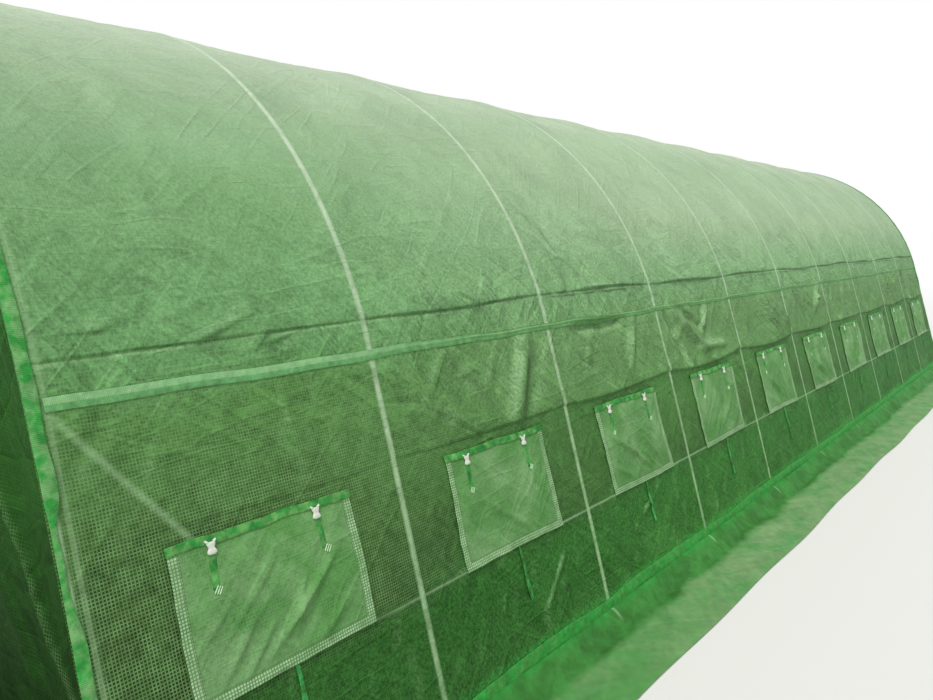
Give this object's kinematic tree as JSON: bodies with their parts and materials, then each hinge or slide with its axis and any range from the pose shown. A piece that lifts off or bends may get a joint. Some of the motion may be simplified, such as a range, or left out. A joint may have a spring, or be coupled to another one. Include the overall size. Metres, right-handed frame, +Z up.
{
  "type": "polytunnel greenhouse",
  "caption": "Walk-in garden tunnel: round steel tube hoops under a green reinforced film cover, with buckled window flaps along both sides and a doorway at each end.",
  "frame": {"origin": "on the ground at the middle of the tunnel's floor area", "axes": "+X along the tunnel from the front end to the back end, -Y the side with the pictured windows, +Z up"},
  "size_m": [10.6722, 4.6406, 2.4033],
  "materials": {
    "steel_tube": "satin",
    "cover_film": "satin",
    "flap_film": "satin",
    "skirt_film": "satin",
    "seam_tape": "matte",
    "net": "matte",
    "buckle_plastic": "satin"
  },
  "bodies": {
    "root": {"hoop_00": "steel_tube", "hoop_01": "steel_tube", "hoop_02": "steel_tube", "hoop_03": "steel_tube", "hoop_04": "steel_tube", "hoop_05": "steel_tube", "hoop_06": "steel_tube", "hoop_07": "steel_tube", "hoop_08": "steel_tube", "hoop_09": "steel_tube", "hoop_10": "steel_tube", "ridge_purlin": "steel_tube", "upper_purlins": "steel_tube", "lower_purlins": "steel_tube", "braces_front": "steel_tube", "braces_back": "steel_tube", "door_frame_front": "steel_tube", "door_frame_back": "steel_tube", "roof_film": "cover_film", "side_film_right": "cover_film", "side_film_left": "cover_film", "front_wall_right": "cover_film", "front_wall_left": "cover_film", "front_wall_over_door": "cover_film", "back_wall_right": "cover_film", "back_wall_left": "cover_film", "back_wall_over_door": "cover_film", "front_door": "cover_film", "back_door": "cover_film", "window_nets_right": "net", "window_nets_left": "net", "window_flaps_right": "flap_film", "window_flaps_left": "flap_film", "window_bands": "seam_tape", "window_buckles": "buckle_plastic", "window_ties": "seam_tape", "waist_tapes": "seam_tape", "foot_bands": "seam_tape", "corner_trim_front": "seam_tape", "corner_trim_back": "seam_tape", "skirt_right": "skirt_film", "skirt_left": "skirt_film", "skirt_front": "skirt_film", "skirt_back": "skirt_film"}
  },
  "joints": []
}
